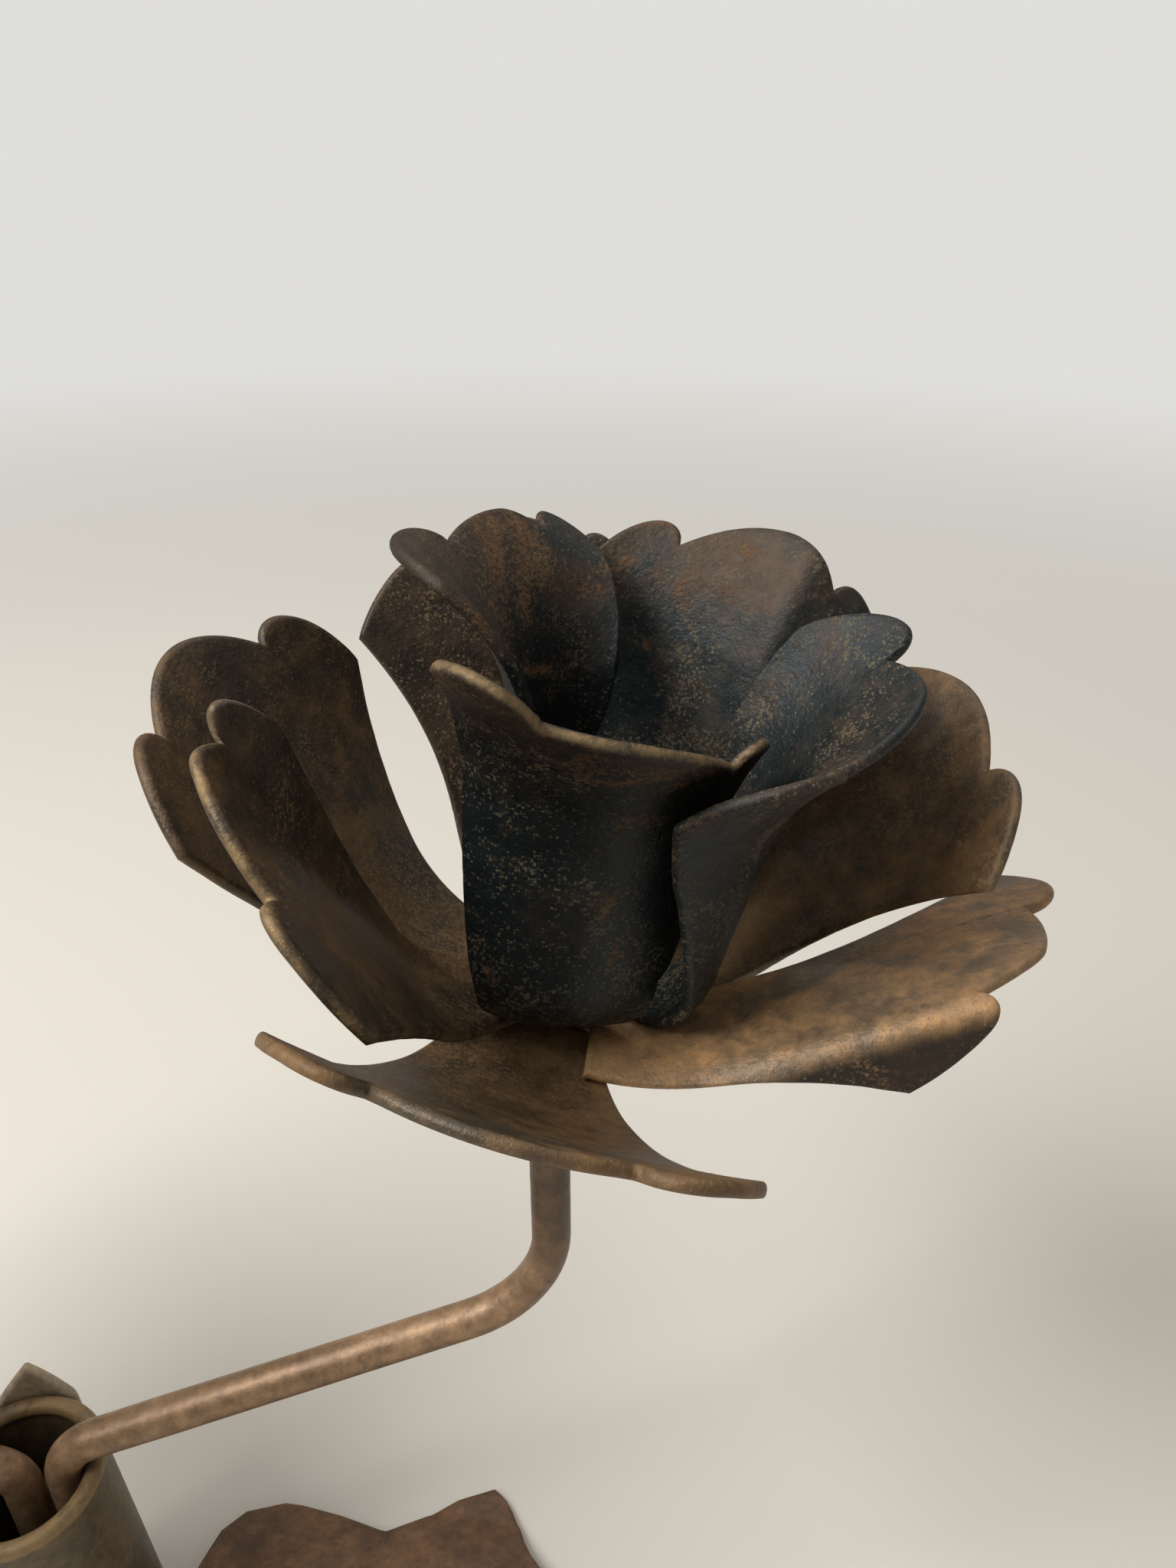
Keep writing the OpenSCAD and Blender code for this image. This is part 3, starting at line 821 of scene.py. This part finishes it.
@dataclass
class Base:
    """The rolled sheet cone with its open seam and hammered rim, and its leaves. The plug in its foot is not
    built here.
    """

    leaf_outline: Knots = (
        (0, 0.25), (0.05, 0.72), (0.1, 0.88), (0.2, 0.93), (0.36, 0.8), (0.48, 0.67), (0.58, 0.8),
        (0.67, 0.93), (0.77, 1), (0.81, 0.88), (0.86, 0.52), (0.93, 0.25), (1, 0.02))
    leaf_rib: Knots = ((0, 1), (0.25, 1.25), (0.5, 0.95), (0.75, 0.8), (1, 0.45))
    back_outline: Knots = (
        (0, 0.3), (0.3, 0.85), (0.6, 1), (0.88, 0.95), (1, 0.04))
    leaf_len: float = 62.0
    leaf_half_w: float = 23.0
    leaf_root_z: float = 6.0
    leaf_droop: float = 7.0
    back_half_w: float = 6.0
    back_rise: float = 5.0
    back_turn: float = 12.0
    rub_h: float = 1.2

    @property
    def slope(self) -> float:
        """Inward run of the cone's wall for each millimetre of height."""
        return (FOOT_D - MOUTH_D) / 2 / BASE_H

    def cone(self) -> bpy.types.Object:
        """The cone: its wall's closed profile carried round from one lip of the seam to the other.

        The rim is a half round bead of 2.4 mm on a wall of 1.8 mm. Both lips of the seam are capped.
        """
        sheet = SheetMesh("rolled_cone")
        bead = RIM_BEAD_D / 2
        ring = np.radians(np.linspace(-25, 205, 15))
        centre = np.array([MOUTH_D / 2 - BASE_WALL / 2, BASE_H - bead])
        rim = centre + bead * np.stack([np.cos(ring), np.sin(ring)], 1)
        rise = np.linspace(0.4, BASE_H - bead - 0.8, 40)
        outer = np.stack([FOOT_D / 2 - self.slope * rise, rise], 1)
        inner = outer[::-1] - [BASE_WALL, 0.0]
        foot = np.array([[FOOT_D / 2 - BASE_WALL + 0.3, 0.0], [FOOT_D / 2 - 0.3, 0.0]])
        profile = np.concatenate([outer, rim, inner, foot])
        gap = math.degrees(SEAM_W / 2 / (MOUTH_D / 2))
        turn = np.radians(np.linspace(180 - ARM_AZIMUTH + gap, 540 - ARM_AZIMUTH - gap, 181))
        count = len(profile)
        to_lip = np.abs(np.arange(len(turn))[:, None] - np.array([0, len(turn) - 1])).min(1)
        lips = np.clip(1 - to_lip / 2.0, 0, 1)
        near_rim = np.exp(-np.maximum(BASE_H - profile[:, 1] - self.rub_h, 0) / self.rub_h)
        worn = np.maximum(near_rim[None], 0.8 * lips[:, None])
        sheet.add(revolved(profile, turn), ring_faces(len(turn), count), worn.reshape(-1), 0.5)
        half = (count + 1) // 2
        first = np.arange(count)
        for ends, order in ((first, 1), (first + (len(turn) - 1) * count, -1)):
            left, right = ends[:half], ends[::-1][:half]
            caps = np.stack([left[:-1], left[1:], right[1:], right[:-1]], -1)[:, ::order]
            sheet.faces.append(caps[[len(set(f)) > 2 for f in caps.tolist()]])
        return sheet.build()

    def foot_leaf(self, side: Side) -> bpy.types.Object:
        """A lobed leaf that lies on the table beside the cone, creased along its midrib.

        The middle surface falls from the rib by the droop times the square of the share across.
        """
        u, v = sheet_shares(60, 48, LEAF_SIDES)
        half_w = self.leaf_half_w * between(u, self.leaf_outline)
        rib = self.leaf_root_z * between(u, self.leaf_rib)
        fall = self.leaf_droop * (np.abs(v) * half_w / self.leaf_half_w) ** 2
        root = FOOT_D / 2 - self.slope * self.leaf_root_z + FIT_GAP
        z = np.maximum(LEAF_T / 2, rib - fall)
        grid = np.stack(np.broadcast_arrays(root + self.leaf_len * u, v * half_w, z), -1)
        sheet = SheetMesh(f"{side.label}_foot_leaf_sheet")
        sheet.add_sheet(grid, LEAF_T, 0.5, True)
        sheet.place(partial(turned, degrees=LEAF_AZIMUTH + side.value))
        return sheet.build()

    def upright_leaf(self) -> bpy.types.Object:
        """The pointed leaf that follows the back of the cone and stands above its rim."""
        height = BASE_H + self.back_rise
        u, v = sheet_shares(60, 24, BACK_SIDES)
        z = height * u
        off = LEAF_T / 2 + (RIM_BEAD_D - BASE_WALL) / 2 + FIT_GAP
        r = FOOT_D / 2 - self.slope * np.minimum(z, BASE_H) + off
        angle = v * self.back_half_w * between(u, self.back_outline) / r
        grid = np.stack(np.broadcast_arrays(r * np.sin(angle), r * np.cos(angle), z), -1)
        sheet = SheetMesh("upright_leaf_sheet")
        sheet.add_sheet(turned(grid, self.back_turn), LEAF_T, 0.5, True)
        return sheet.build()

    def build(self) -> dict[str, bpy.types.Object]:
        """Cone and leaves, by the name of the solid that each stands for."""
        return {
            "base_cone": self.cone(),
            "right_leaf": self.foot_leaf(Side.RIGHT),
            "left_leaf": self.foot_leaf(Side.LEFT),
            "back_leaf": self.upright_leaf(),
        }


def linear(code: str) -> tuple[float, float, float, float]:
    """An sRGB hex colour as the linear colour that a shader takes.

    Args:
        code: six hex digits.

    Returns:
        Red, green, blue and 1.
    """
    levels = [int(code[i:i + 2], 16) / 255 for i in (0, 2, 4)]
    rgb = [c / 12.92 if c <= 0.04045 else ((c + 0.055) / 1.055) ** 2.4 for c in levels]
    return (rgb[0], rgb[1], rgb[2], 1.0)


def add_node(tree: bpy.types.NodeTree, kind: str, settings: dict[str, str], *ordered: object,
             **named: object) -> bpy.types.Node:
    """Adds a node with its settings and its inputs.

    Args:
        tree: node tree of the material.
        kind: Blender's name of the node type.
        settings: properties of the node itself.
        ordered: values, sockets or nodes for the node's open inputs, in their order.
        named: the same by the input's name, with underscores for spaces.

    Returns:
        The node.
    """
    node = tree.nodes.new(kind)
    for key, value in settings.items():
        setattr(node, key, value)
    sockets = [socket for socket in node.inputs if socket.enabled]
    by_name = {socket.name.replace(" ", "_"): socket for socket in sockets}
    for socket, value in [*zip(sockets, ordered), *((by_name[key], value) for key, value in named.items())]:
        if isinstance(value, bpy.types.Node):
            value = next(output for output in value.outputs if output.enabled)
        if isinstance(value, bpy.types.NodeSocket):
            tree.links.new(value, socket)
        else:
            socket.default_value = value
    return node


def per_metre(size_mm: float) -> float:
    """Scale of a pattern on metres whose features are size_mm across."""
    return 1 / (size_mm * MM)


# Settings of nodes that come again and again
ADD = {"operation": "ADD"}
MULTIPLY = {"operation": "MULTIPLY"}
MULTIPLY_ADD = {"operation": "MULTIPLY_ADD"}
MAXIMUM = {"operation": "MAXIMUM"}
SMOOTH = {"interpolation_type": "SMOOTHSTEP"}
COLOURS = {"data_type": "RGBA"}
NUMBERS = {"data_type": "FLOAT"}

AddNode = Callable[..., bpy.types.Node]


@dataclass(frozen=True)
class Pattern:
    """A noise pattern: the real size of its features in millimetres, and how it is broken up."""

    size: float
    detail: float
    roughness: float
    distortion: float = 0.0


# Clouds, mottling, flecks and grain of the patina, drifts of dust, patches and freckles of rust, hammer marks
PATTERNS = {
    "cloud": Pattern(14.0, 7.0, 0.6, 0.6),
    "mottle": Pattern(2.6, 5.0, 0.68, 0.2),
    "fleck": Pattern(0.9, 4.0, 0.7, 0.4),
    "grain": Pattern(0.4, 3.0, 0.6),
    "drift": Pattern(7.0, 6.0, 0.62, 0.8),
    "patch": Pattern(9.0, 5.0, 0.6, 1.0),
    "freckle": Pattern(0.5, 4.0, 0.72),
    "dents": Pattern(7.0, 2.0, 0.5),
}
DUST_GRAIN = 0.3
DROP_SPACING = 22.0
# Heights over which a cup's rim turns brown, and over which a painted shadow of the rose darkens a rod
RIM_BAND = (150.0, 172.0)
ROSE_SHADOW_BAND = (68.0, 92.0)


@dataclass(frozen=True)
class Ramp:
    """Where a layer sets in on its pattern and where it is full, both lowered by its share times the pull."""

    start: float
    full: float
    pull: float
    top: float = 1.0

    def span(self, share: float) -> dict[str, float]:
        """Inputs of the step from nothing to the layer's top, for the layer's share."""
        return {"From_Min": self.start - self.pull * share, "From_Max": self.full - self.pull * share,
                "To_Max": self.top}


PATINA_RAMP = Ramp(0.7, 1.02, 0.35)
DUST_RAMP = Ramp(0.36, 0.62, 0.3, 0.6)
RUST_RAMP = Ramp(1.08, 1.34, 0.3, 0.8)
EDGE_RAMP = Ramp(1.6, 2.05, 0.4, 0.9)


@dataclass(frozen=True)
class IronFinish:
    """Old iron: dark oxide left by the fire, brown patina over it, rust dust and rubbed edges.

    The oxide gives a dim, slightly blue sheen, the patina a dull warm brown, the dust fine pale grains, the
    rust orange freckles, and the rubbed edges a thin broken golden line.
    """

    oxide: str
    patina: str
    dust: str
    rust: str
    edge: str
    patina_share: float = 0.5
    dust_share: float = 0.5
    rust_share: float = 0.25
    ring_share: float = 0.0
    rim_brown: float = 0.0
    # Share by which a painted shadow of the rose darkens the upper part of a rod
    smoke: float = 0.0
    edge_share: float = 0.5
    oxide_roughness: float = 0.42
    patina_roughness: float = 0.6
    crust_roughness: float = 0.85
    metallic: float = 0.5
    bump: float = 0.5

    def level(self, add: AddNode, spots: bpy.types.Node, height: bpy.types.NodeSocket,
              tint: bpy.types.NodeSocket) -> bpy.types.Node:
        """Lightness: every petal has its own tint, which paints light and shade as well as patina, spots vary
        it, and a painted shadow of the rose darkens the upper part of a rod.
        """
        shade = add("ShaderNodeMapRange", {}, Value=spots, From_Min=0.6, From_Max=1.1, To_Min=0.68,
                    To_Max=1.32)
        # Painted shadow: darker from the first to the second height of the band, where the rose shades the
        # rod
        smoke = add("ShaderNodeMapRange", SMOOTH, Value=height, From_Min=ROSE_SHADOW_BAND[0] * MM,
                    From_Max=ROSE_SHADOW_BAND[1] * MM, To_Min=1.0, To_Max=1.0 - self.smoke)
        grey = add("ShaderNodeMapRange", {}, Value=tint, From_Min=-0.3, From_Max=2.0, To_Min=0.04,
                   To_Max=2.8)
        return add("ShaderNodeMath", MULTIPLY, add("ShaderNodeMath", MULTIPLY, shade, smoke), grey)

    def dusty(self, add: AddNode, where: bpy.types.NodeSocket, drift: bpy.types.Node,
              root: bpy.types.NodeSocket) -> bpy.types.Node:
        """Share of dust: fine grains, thick in drifts and round the petals' roots, thin elsewhere."""
        specks = add("ShaderNodeTexVoronoi", {"feature": "F1"}, Vector=where, Scale=per_metre(DUST_GRAIN))
        gather = add("ShaderNodeMath", MULTIPLY_ADD, root, 0.3, drift)
        chance = add("ShaderNodeSeparateColor", {}, specks.outputs["Color"])
        many = add("ShaderNodeMath", MULTIPLY_ADD, chance, -0.5, gather)
        near = add("ShaderNodeMath", MULTIPLY_ADD, specks, -0.35, many)
        return add("ShaderNodeMapRange", SMOOTH, Value=near, **DUST_RAMP.span(self.dust_share))

    def rusty(self, add: AddNode, where: bpy.types.NodeSocket, noise: dict[str, bpy.types.Node],
              high: bpy.types.Node) -> bpy.types.Node:
        """Share of rust: freckles in patches, more of them where a cup opens, and the rings of water drops.

        A ring is about 4 mm across and has a rusty spot inside it.
        """
        patch = add("ShaderNodeMath", MULTIPLY_ADD, high, 0.3, noise["patch"])
        freckled = add("ShaderNodeMath", MULTIPLY_ADD, noise["freckle"], 0.8, patch)
        rusted = add("ShaderNodeMapRange", SMOOTH, Value=freckled, **RUST_RAMP.span(self.rust_share))
        drops = add("ShaderNodeTexVoronoi", {"feature": "F1"}, Vector=where, Scale=per_metre(DROP_SPACING))
        ripple = add("ShaderNodeMath", MULTIPLY_ADD, noise["freckle"], 0.08, drops)
        line = add("ShaderNodeMath", {"operation": "PINGPONG"}, ripple, 0.065)
        inside = add("ShaderNodeMath", {"operation": "LESS_THAN"}, ripple, 0.15)
        ring = add("ShaderNodeMapRange", SMOOTH, Value=line, From_Min=0.03, From_Max=0.004,
                   To_Max=self.ring_share)
        return add("ShaderNodeMath", MAXIMUM, rusted, add("ShaderNodeMath", MULTIPLY, ring, inside))

    def dress(self, name: str) -> bpy.types.Material:
        """The finish as a material.

        Args:
            name: of the material.

        Returns:
            The material, with all patterns on Object coordinates, in metres.
        """
        material = bpy.data.materials.new(name)
        material.use_nodes = True
        material.node_tree.nodes.clear()
        add = partial(add_node, material.node_tree)
        where = add("ShaderNodeTexCoord", {}).outputs["Object"]
        marks = {mark: add("ShaderNodeAttribute", {"attribute_name": mark}).outputs["Fac"]
                 for mark in ("worn", "tint", "root")}
        noise = {label: add("ShaderNodeTexNoise", {}, Vector=where, Scale=per_metre(pattern.size),
                            Detail=pattern.detail, Roughness=pattern.roughness, Distortion=pattern.distortion)
                 for label, pattern in PATTERNS.items()}
        height = add("ShaderNodeSeparateXYZ", {}, where).outputs["Z"]
        high = add("ShaderNodeMapRange", {}, Value=height, From_Min=RIM_BAND[0] * MM,
                   From_Max=RIM_BAND[1] * MM, To_Max=self.rim_brown)
        spots = add("ShaderNodeMath", MULTIPLY_ADD, noise["fleck"], 0.7, noise["mottle"])

        # Patina in mottled clouds, which closes over the oxide where a cup opens
        spread = add("ShaderNodeMath", MULTIPLY_ADD, noise["mottle"], 0.35, noise["cloud"])
        spread = add("ShaderNodeMath", ADD, spread, high)
        brown = add("ShaderNodeMapRange", SMOOTH, Value=spread, **PATINA_RAMP.span(self.patina_share))
        # Rubbed edges, broken by the clouds and the mottling
        broken = add("ShaderNodeMath", MULTIPLY_ADD, noise["cloud"], 0.8, noise["mottle"])
        rubbed = add("ShaderNodeMath", MULTIPLY_ADD, broken, 0.9, marks["worn"])
        rubbed = add("ShaderNodeMapRange", SMOOTH, Value=rubbed, **EDGE_RAMP.span(self.edge_share))
        dusty = self.dusty(add, where, noise["drift"], marks["root"])
        rusty = self.rusty(add, where, noise, high)
        crust = add("ShaderNodeMath", MAXIMUM, rusty, dusty)

        colour = add("ShaderNodeMix", COLOURS, brown, linear(self.oxide), linear(self.patina))
        level = self.level(add, spots, height, marks["tint"])
        colour = add("ShaderNodeHueSaturation", {}, Value=level, Color=colour)
        for cover, code in ((dusty, self.dust), (rusty, self.rust), (rubbed, self.edge)):
            colour = add("ShaderNodeMix", COLOURS, cover, colour, linear(code))
        rough = add("ShaderNodeMix", NUMBERS, brown, self.oxide_roughness, self.patina_roughness)
        rough = add("ShaderNodeMix", NUMBERS, crust, rough, self.crust_roughness)
        metal = add("ShaderNodeMapRange", {}, Value=crust, To_Min=self.metallic, To_Max=0.0)

        # Relief: hammer marks, and on them freckles, spots, crust and grain by their weights
        relief = noise["dents"]
        for layer, weight in ((noise["freckle"], 0.2), (spots, 0.3), (crust, 0.1), (noise["grain"], 0.08)):
            relief = add("ShaderNodeMath", MULTIPLY_ADD, layer, weight, relief)
        bump = add("ShaderNodeBump", {}, Strength=self.bump, Distance=0.5 * MM, Height=relief)
        shader = add("ShaderNodeBsdfPrincipled", {}, Base_Color=colour, Metallic=metal, Roughness=rough,
                     Normal=bump)
        add("ShaderNodeOutputMaterial", {}, Surface=shader)
        return material


FINISHES: dict[Patina, IronFinish] = {
    # Mild steel sheet blackened in the forge: blue-black oxide with a dim sheen, brown towards its rims, with
    # the rings of water drops
    Patina.BLUED_CUP: IronFinish(
        oxide="1D2628", patina="45372A", dust="6A6046", rust="74502C", edge="8A7452", patina_share=0.1,
        rust_share=0.3, ring_share=0.8, rim_brown=0.3, edge_share=0.45, oxide_roughness=0.48,
        patina_roughness=0.62, metallic=0.4, bump=0.8),
    # The same sheet where the oxide has browned: dull olive brown with dust and pale rims
    Patina.BROWN_OUTER: IronFinish(
        oxide="40362A", patina="644C30", dust="765F3E", rust="70502E", edge="86704C", rust_share=0.15,
        edge_share=0.3, metallic=0.25, bump=0.8),
    Patina.BROWN_MIDDLE: IronFinish(
        oxide="42372A", patina="674E32", dust="7C6544", rust="745230", edge="8E7650", rust_share=0.15,
        edge_share=0.3, metallic=0.25, bump=0.8),
    # Hot rolled round bar, waxed: an even tan brown with a satin sheen, darkened under the rose by a painted
    # shadow
    Patina.TAN_ROD: IronFinish(
        oxide="7C6248", patina="987A5C", dust="9C8060", rust="8E6A48", edge="AA8C66", dust_share=0.0,
        rust_share=0.0, smoke=0.7, edge_share=0.3, patina_roughness=0.48, metallic=0.3, bump=0.35),
    # Rolled sheet with a hammered rim: grey brown, rubbed to tan along the rim
    Patina.CONE: IronFinish(
        oxide="544A3B", patina="6A5B44", dust="705F47", rust="705238", edge="947A54", dust_share=0.2,
        rust_share=0.1, edge_share=0.2, metallic=0.3),
    # Flat cut sheet that lies on the table: even purplish brown
    Patina.LEAF: IronFinish(
        oxide="57402D", patina="705238", dust="785C40", rust="6C4830", edge="846646", dust_share=0.2,
        rust_share=0.1, edge_share=0.3, metallic=0.2, oxide_roughness=0.55),
    # Flat cut sheet in the light behind the cone: pale grey brown, the sheet of the leaves on the table
    # painted paler for the light that falls on it
    Patina.BACK_LEAF: IronFinish(
        oxide="A0937F", patina="B09E84", dust="AE9A74", rust="967048", edge="B8A07A", dust_share=0.2,
        rust_share=0.1, edge_share=0.3, metallic=0.2),
}


@dataclass
class Studio:
    """Pale floor, soft lights and the camera at the photograph's angle."""

    camera_mm: tuple[float, float, float] = (75.6, -90.6, 207.25)
    pitch: float = 30.0
    half_height_px: float = 1024.0
    focal_px: float = 1550.0
    floor: str = "CFCBC3"
    wall: str = "E0DFDB"
    fade_start: float = 0.2
    fade_end: float = 1.1
    room_side: float = 0.12
    room_top: float = 0.6
    sensor: float = 24.0
    floor_reach: float = 12.0
    aim: tuple[float, float, float] = (0.03, 0.0, 0.1)

    def camera(self) -> None:
        """The camera, with the lens whose focal length is 1550 pixels on a frame 2048 pixels high."""
        data = bpy.data.cameras.new("photo_camera")
        data.sensor_fit = "VERTICAL"
        data.sensor_height = self.sensor
        data.lens = self.sensor / 2 * self.focal_px / self.half_height_px
        data.clip_start = 0.005
        data.clip_end = 20.0
        camera = bpy.data.objects.new("photo_camera", data)
        camera.location = [c * MM for c in self.camera_mm]
        camera.rotation_euler = (math.radians(90 - self.pitch), 0.0, 0.0)
        bpy.context.scene.collection.objects.link(camera)
        bpy.context.scene.camera = camera

    def ground(self) -> None:
        """A large pale floor. Its far part is drawn in the wall's colour, so that no horizon shows."""
        mesh = bpy.data.meshes.new("floor")
        reach = self.floor_reach
        corners = [(-reach, -reach, 0), (reach, -reach, 0), (reach, reach, 0), (-reach, reach, 0)]
        mesh.from_pydata(corners, [], [(0, 1, 2, 3)])
        floor = bpy.data.objects.new("floor", mesh)
        bpy.context.scene.collection.objects.link(floor)
        material = bpy.data.materials.new("pale_matt_board")
        material.use_nodes = True
        material.node_tree.nodes.clear()
        add = partial(add_node, material.node_tree)
        where = add("ShaderNodeTexCoord", {}).outputs["Object"]
        far = add("ShaderNodeVectorMath", {"operation": "LENGTH"}, where).outputs["Value"]
        fade = add("ShaderNodeMapRange", SMOOTH, Value=far, From_Min=self.fade_start, From_Max=self.fade_end)
        rays = add("ShaderNodeLightPath", {}).outputs
        seen = add("ShaderNodeMath", MAXIMUM, rays["Is Camera Ray"], rays["Is Glossy Ray"])
        share = add("ShaderNodeMath", MULTIPLY, fade, seen)
        board = add("ShaderNodeBsdfPrincipled", {}, Base_Color=linear(self.floor), Roughness=0.85)
        wall = add("ShaderNodeEmission", {}, Color=linear(self.wall), Strength=1.0)
        both = add("ShaderNodeMixShader", {}, share, board, wall)
        add("ShaderNodeOutputMaterial", {}, Surface=both)
        mesh.materials.append(material)

    def light(self, name: str, place: tuple[float, float, float], size: float, power: float,
              tone: str) -> None:
        """A square soft box that faces the rose.

        Args:
            name: of the light.
            place: its position, in metres.
            size: of its side, in metres.
            power: in watts.
            tone: its colour.
        """
        data = bpy.data.lights.new(name, "AREA")
        data.shape = "SQUARE"
        data.size = size
        data.energy = power
        data.color = linear(tone)[:3]
        lamp = bpy.data.objects.new(name, data)
        lamp.location = place
        aim = np.array(self.aim) - np.array(place)
        climb = math.atan2(aim[2], math.hypot(aim[0], aim[1]))
        lamp.rotation_euler = (math.pi / 2 + climb, 0.0, math.atan2(aim[1], aim[0]) - math.pi / 2)
        bpy.context.scene.collection.objects.link(lamp)

    def world(self) -> None:
        """A pale room, brighter overhead than at the sides."""
        world = bpy.data.worlds.new("pale_room")
        bpy.context.scene.world = world
        world.use_nodes = True
        world.node_tree.nodes.clear()
        add = partial(add_node, world.node_tree)
        where = add("ShaderNodeTexCoord", {}).outputs["Generated"]
        parts = add("ShaderNodeSeparateXYZ", {}, where).outputs
        above = add("ShaderNodeMapRange", SMOOTH, Value=parts["Z"], From_Min=0.1, From_Max=0.95,
                    To_Min=self.room_side, To_Max=self.room_top)
        room = add("ShaderNodeBackground", {}, Color=linear("F4F1EC"), Strength=above)
        shown = add("ShaderNodeBackground", {}, Color=linear(self.wall), Strength=1.0)
        seen = add("ShaderNodeLightPath", {}).outputs["Is Camera Ray"]
        both = add("ShaderNodeMixShader", {}, seen, room, shown)
        add("ShaderNodeOutputWorld", {}, Surface=both)

    def build(self) -> None:
        """Sets up the whole studio."""
        bpy.context.scene.view_settings.view_transform = "Standard"
        self.camera()
        self.ground()
        self.world()
        self.light("window", (-0.45, -0.2, 0.75), 0.4, 8.5, "FFFDFA")
        self.light("fill", (0.2, 0.4, 0.8), 0.6, 1.5, "FFF8F0")


# Finishes by a word in the solid's name, the first that fits
FINISH_WORDS = {
    "cup": Patina.BLUED_CUP,
    "outer": Patina.BROWN_OUTER,
    "middle": Patina.BROWN_MIDDLE,
    "arm": Patina.TAN_ROD,
    "back_leaf": Patina.BACK_LEAF,
    "leaf": Patina.LEAF,
    "cone": Patina.CONE,
}


def main() -> None:
    """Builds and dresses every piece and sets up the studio."""
    logging.basicConfig(level=logging.INFO, format="%(message)s")
    Studio().build()
    materials = {patina: finish.dress(patina.value) for patina, finish in FINISHES.items()}
    pieces: dict[str, bpy.types.Object] = {}
    for side, leg_offset in ((Side.RIGHT, LEG_OFFSET), (Side.LEFT, 0.0)):
        pieces.update(RoseHead(side).build())
        pieces[f"{side.label}_arm"] = Arm(side, leg_offset).build()
    pieces.update(Base().build())
    for node, piece in pieces.items():
        patina = next(patina for word, patina in FINISH_WORDS.items() if word in node)
        piece.data.materials.append(materials[patina])
        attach(piece, "root")
        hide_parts(node)
        LOG.info("%s: %d faces, stands for %s", piece.name, len(piece.data.polygons), node)
    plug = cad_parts["foot_plug"]
    plug.data.materials.clear()
    plug.data.materials.append(materials[Patina.CONE])


if __name__ == "__main__":
    main()
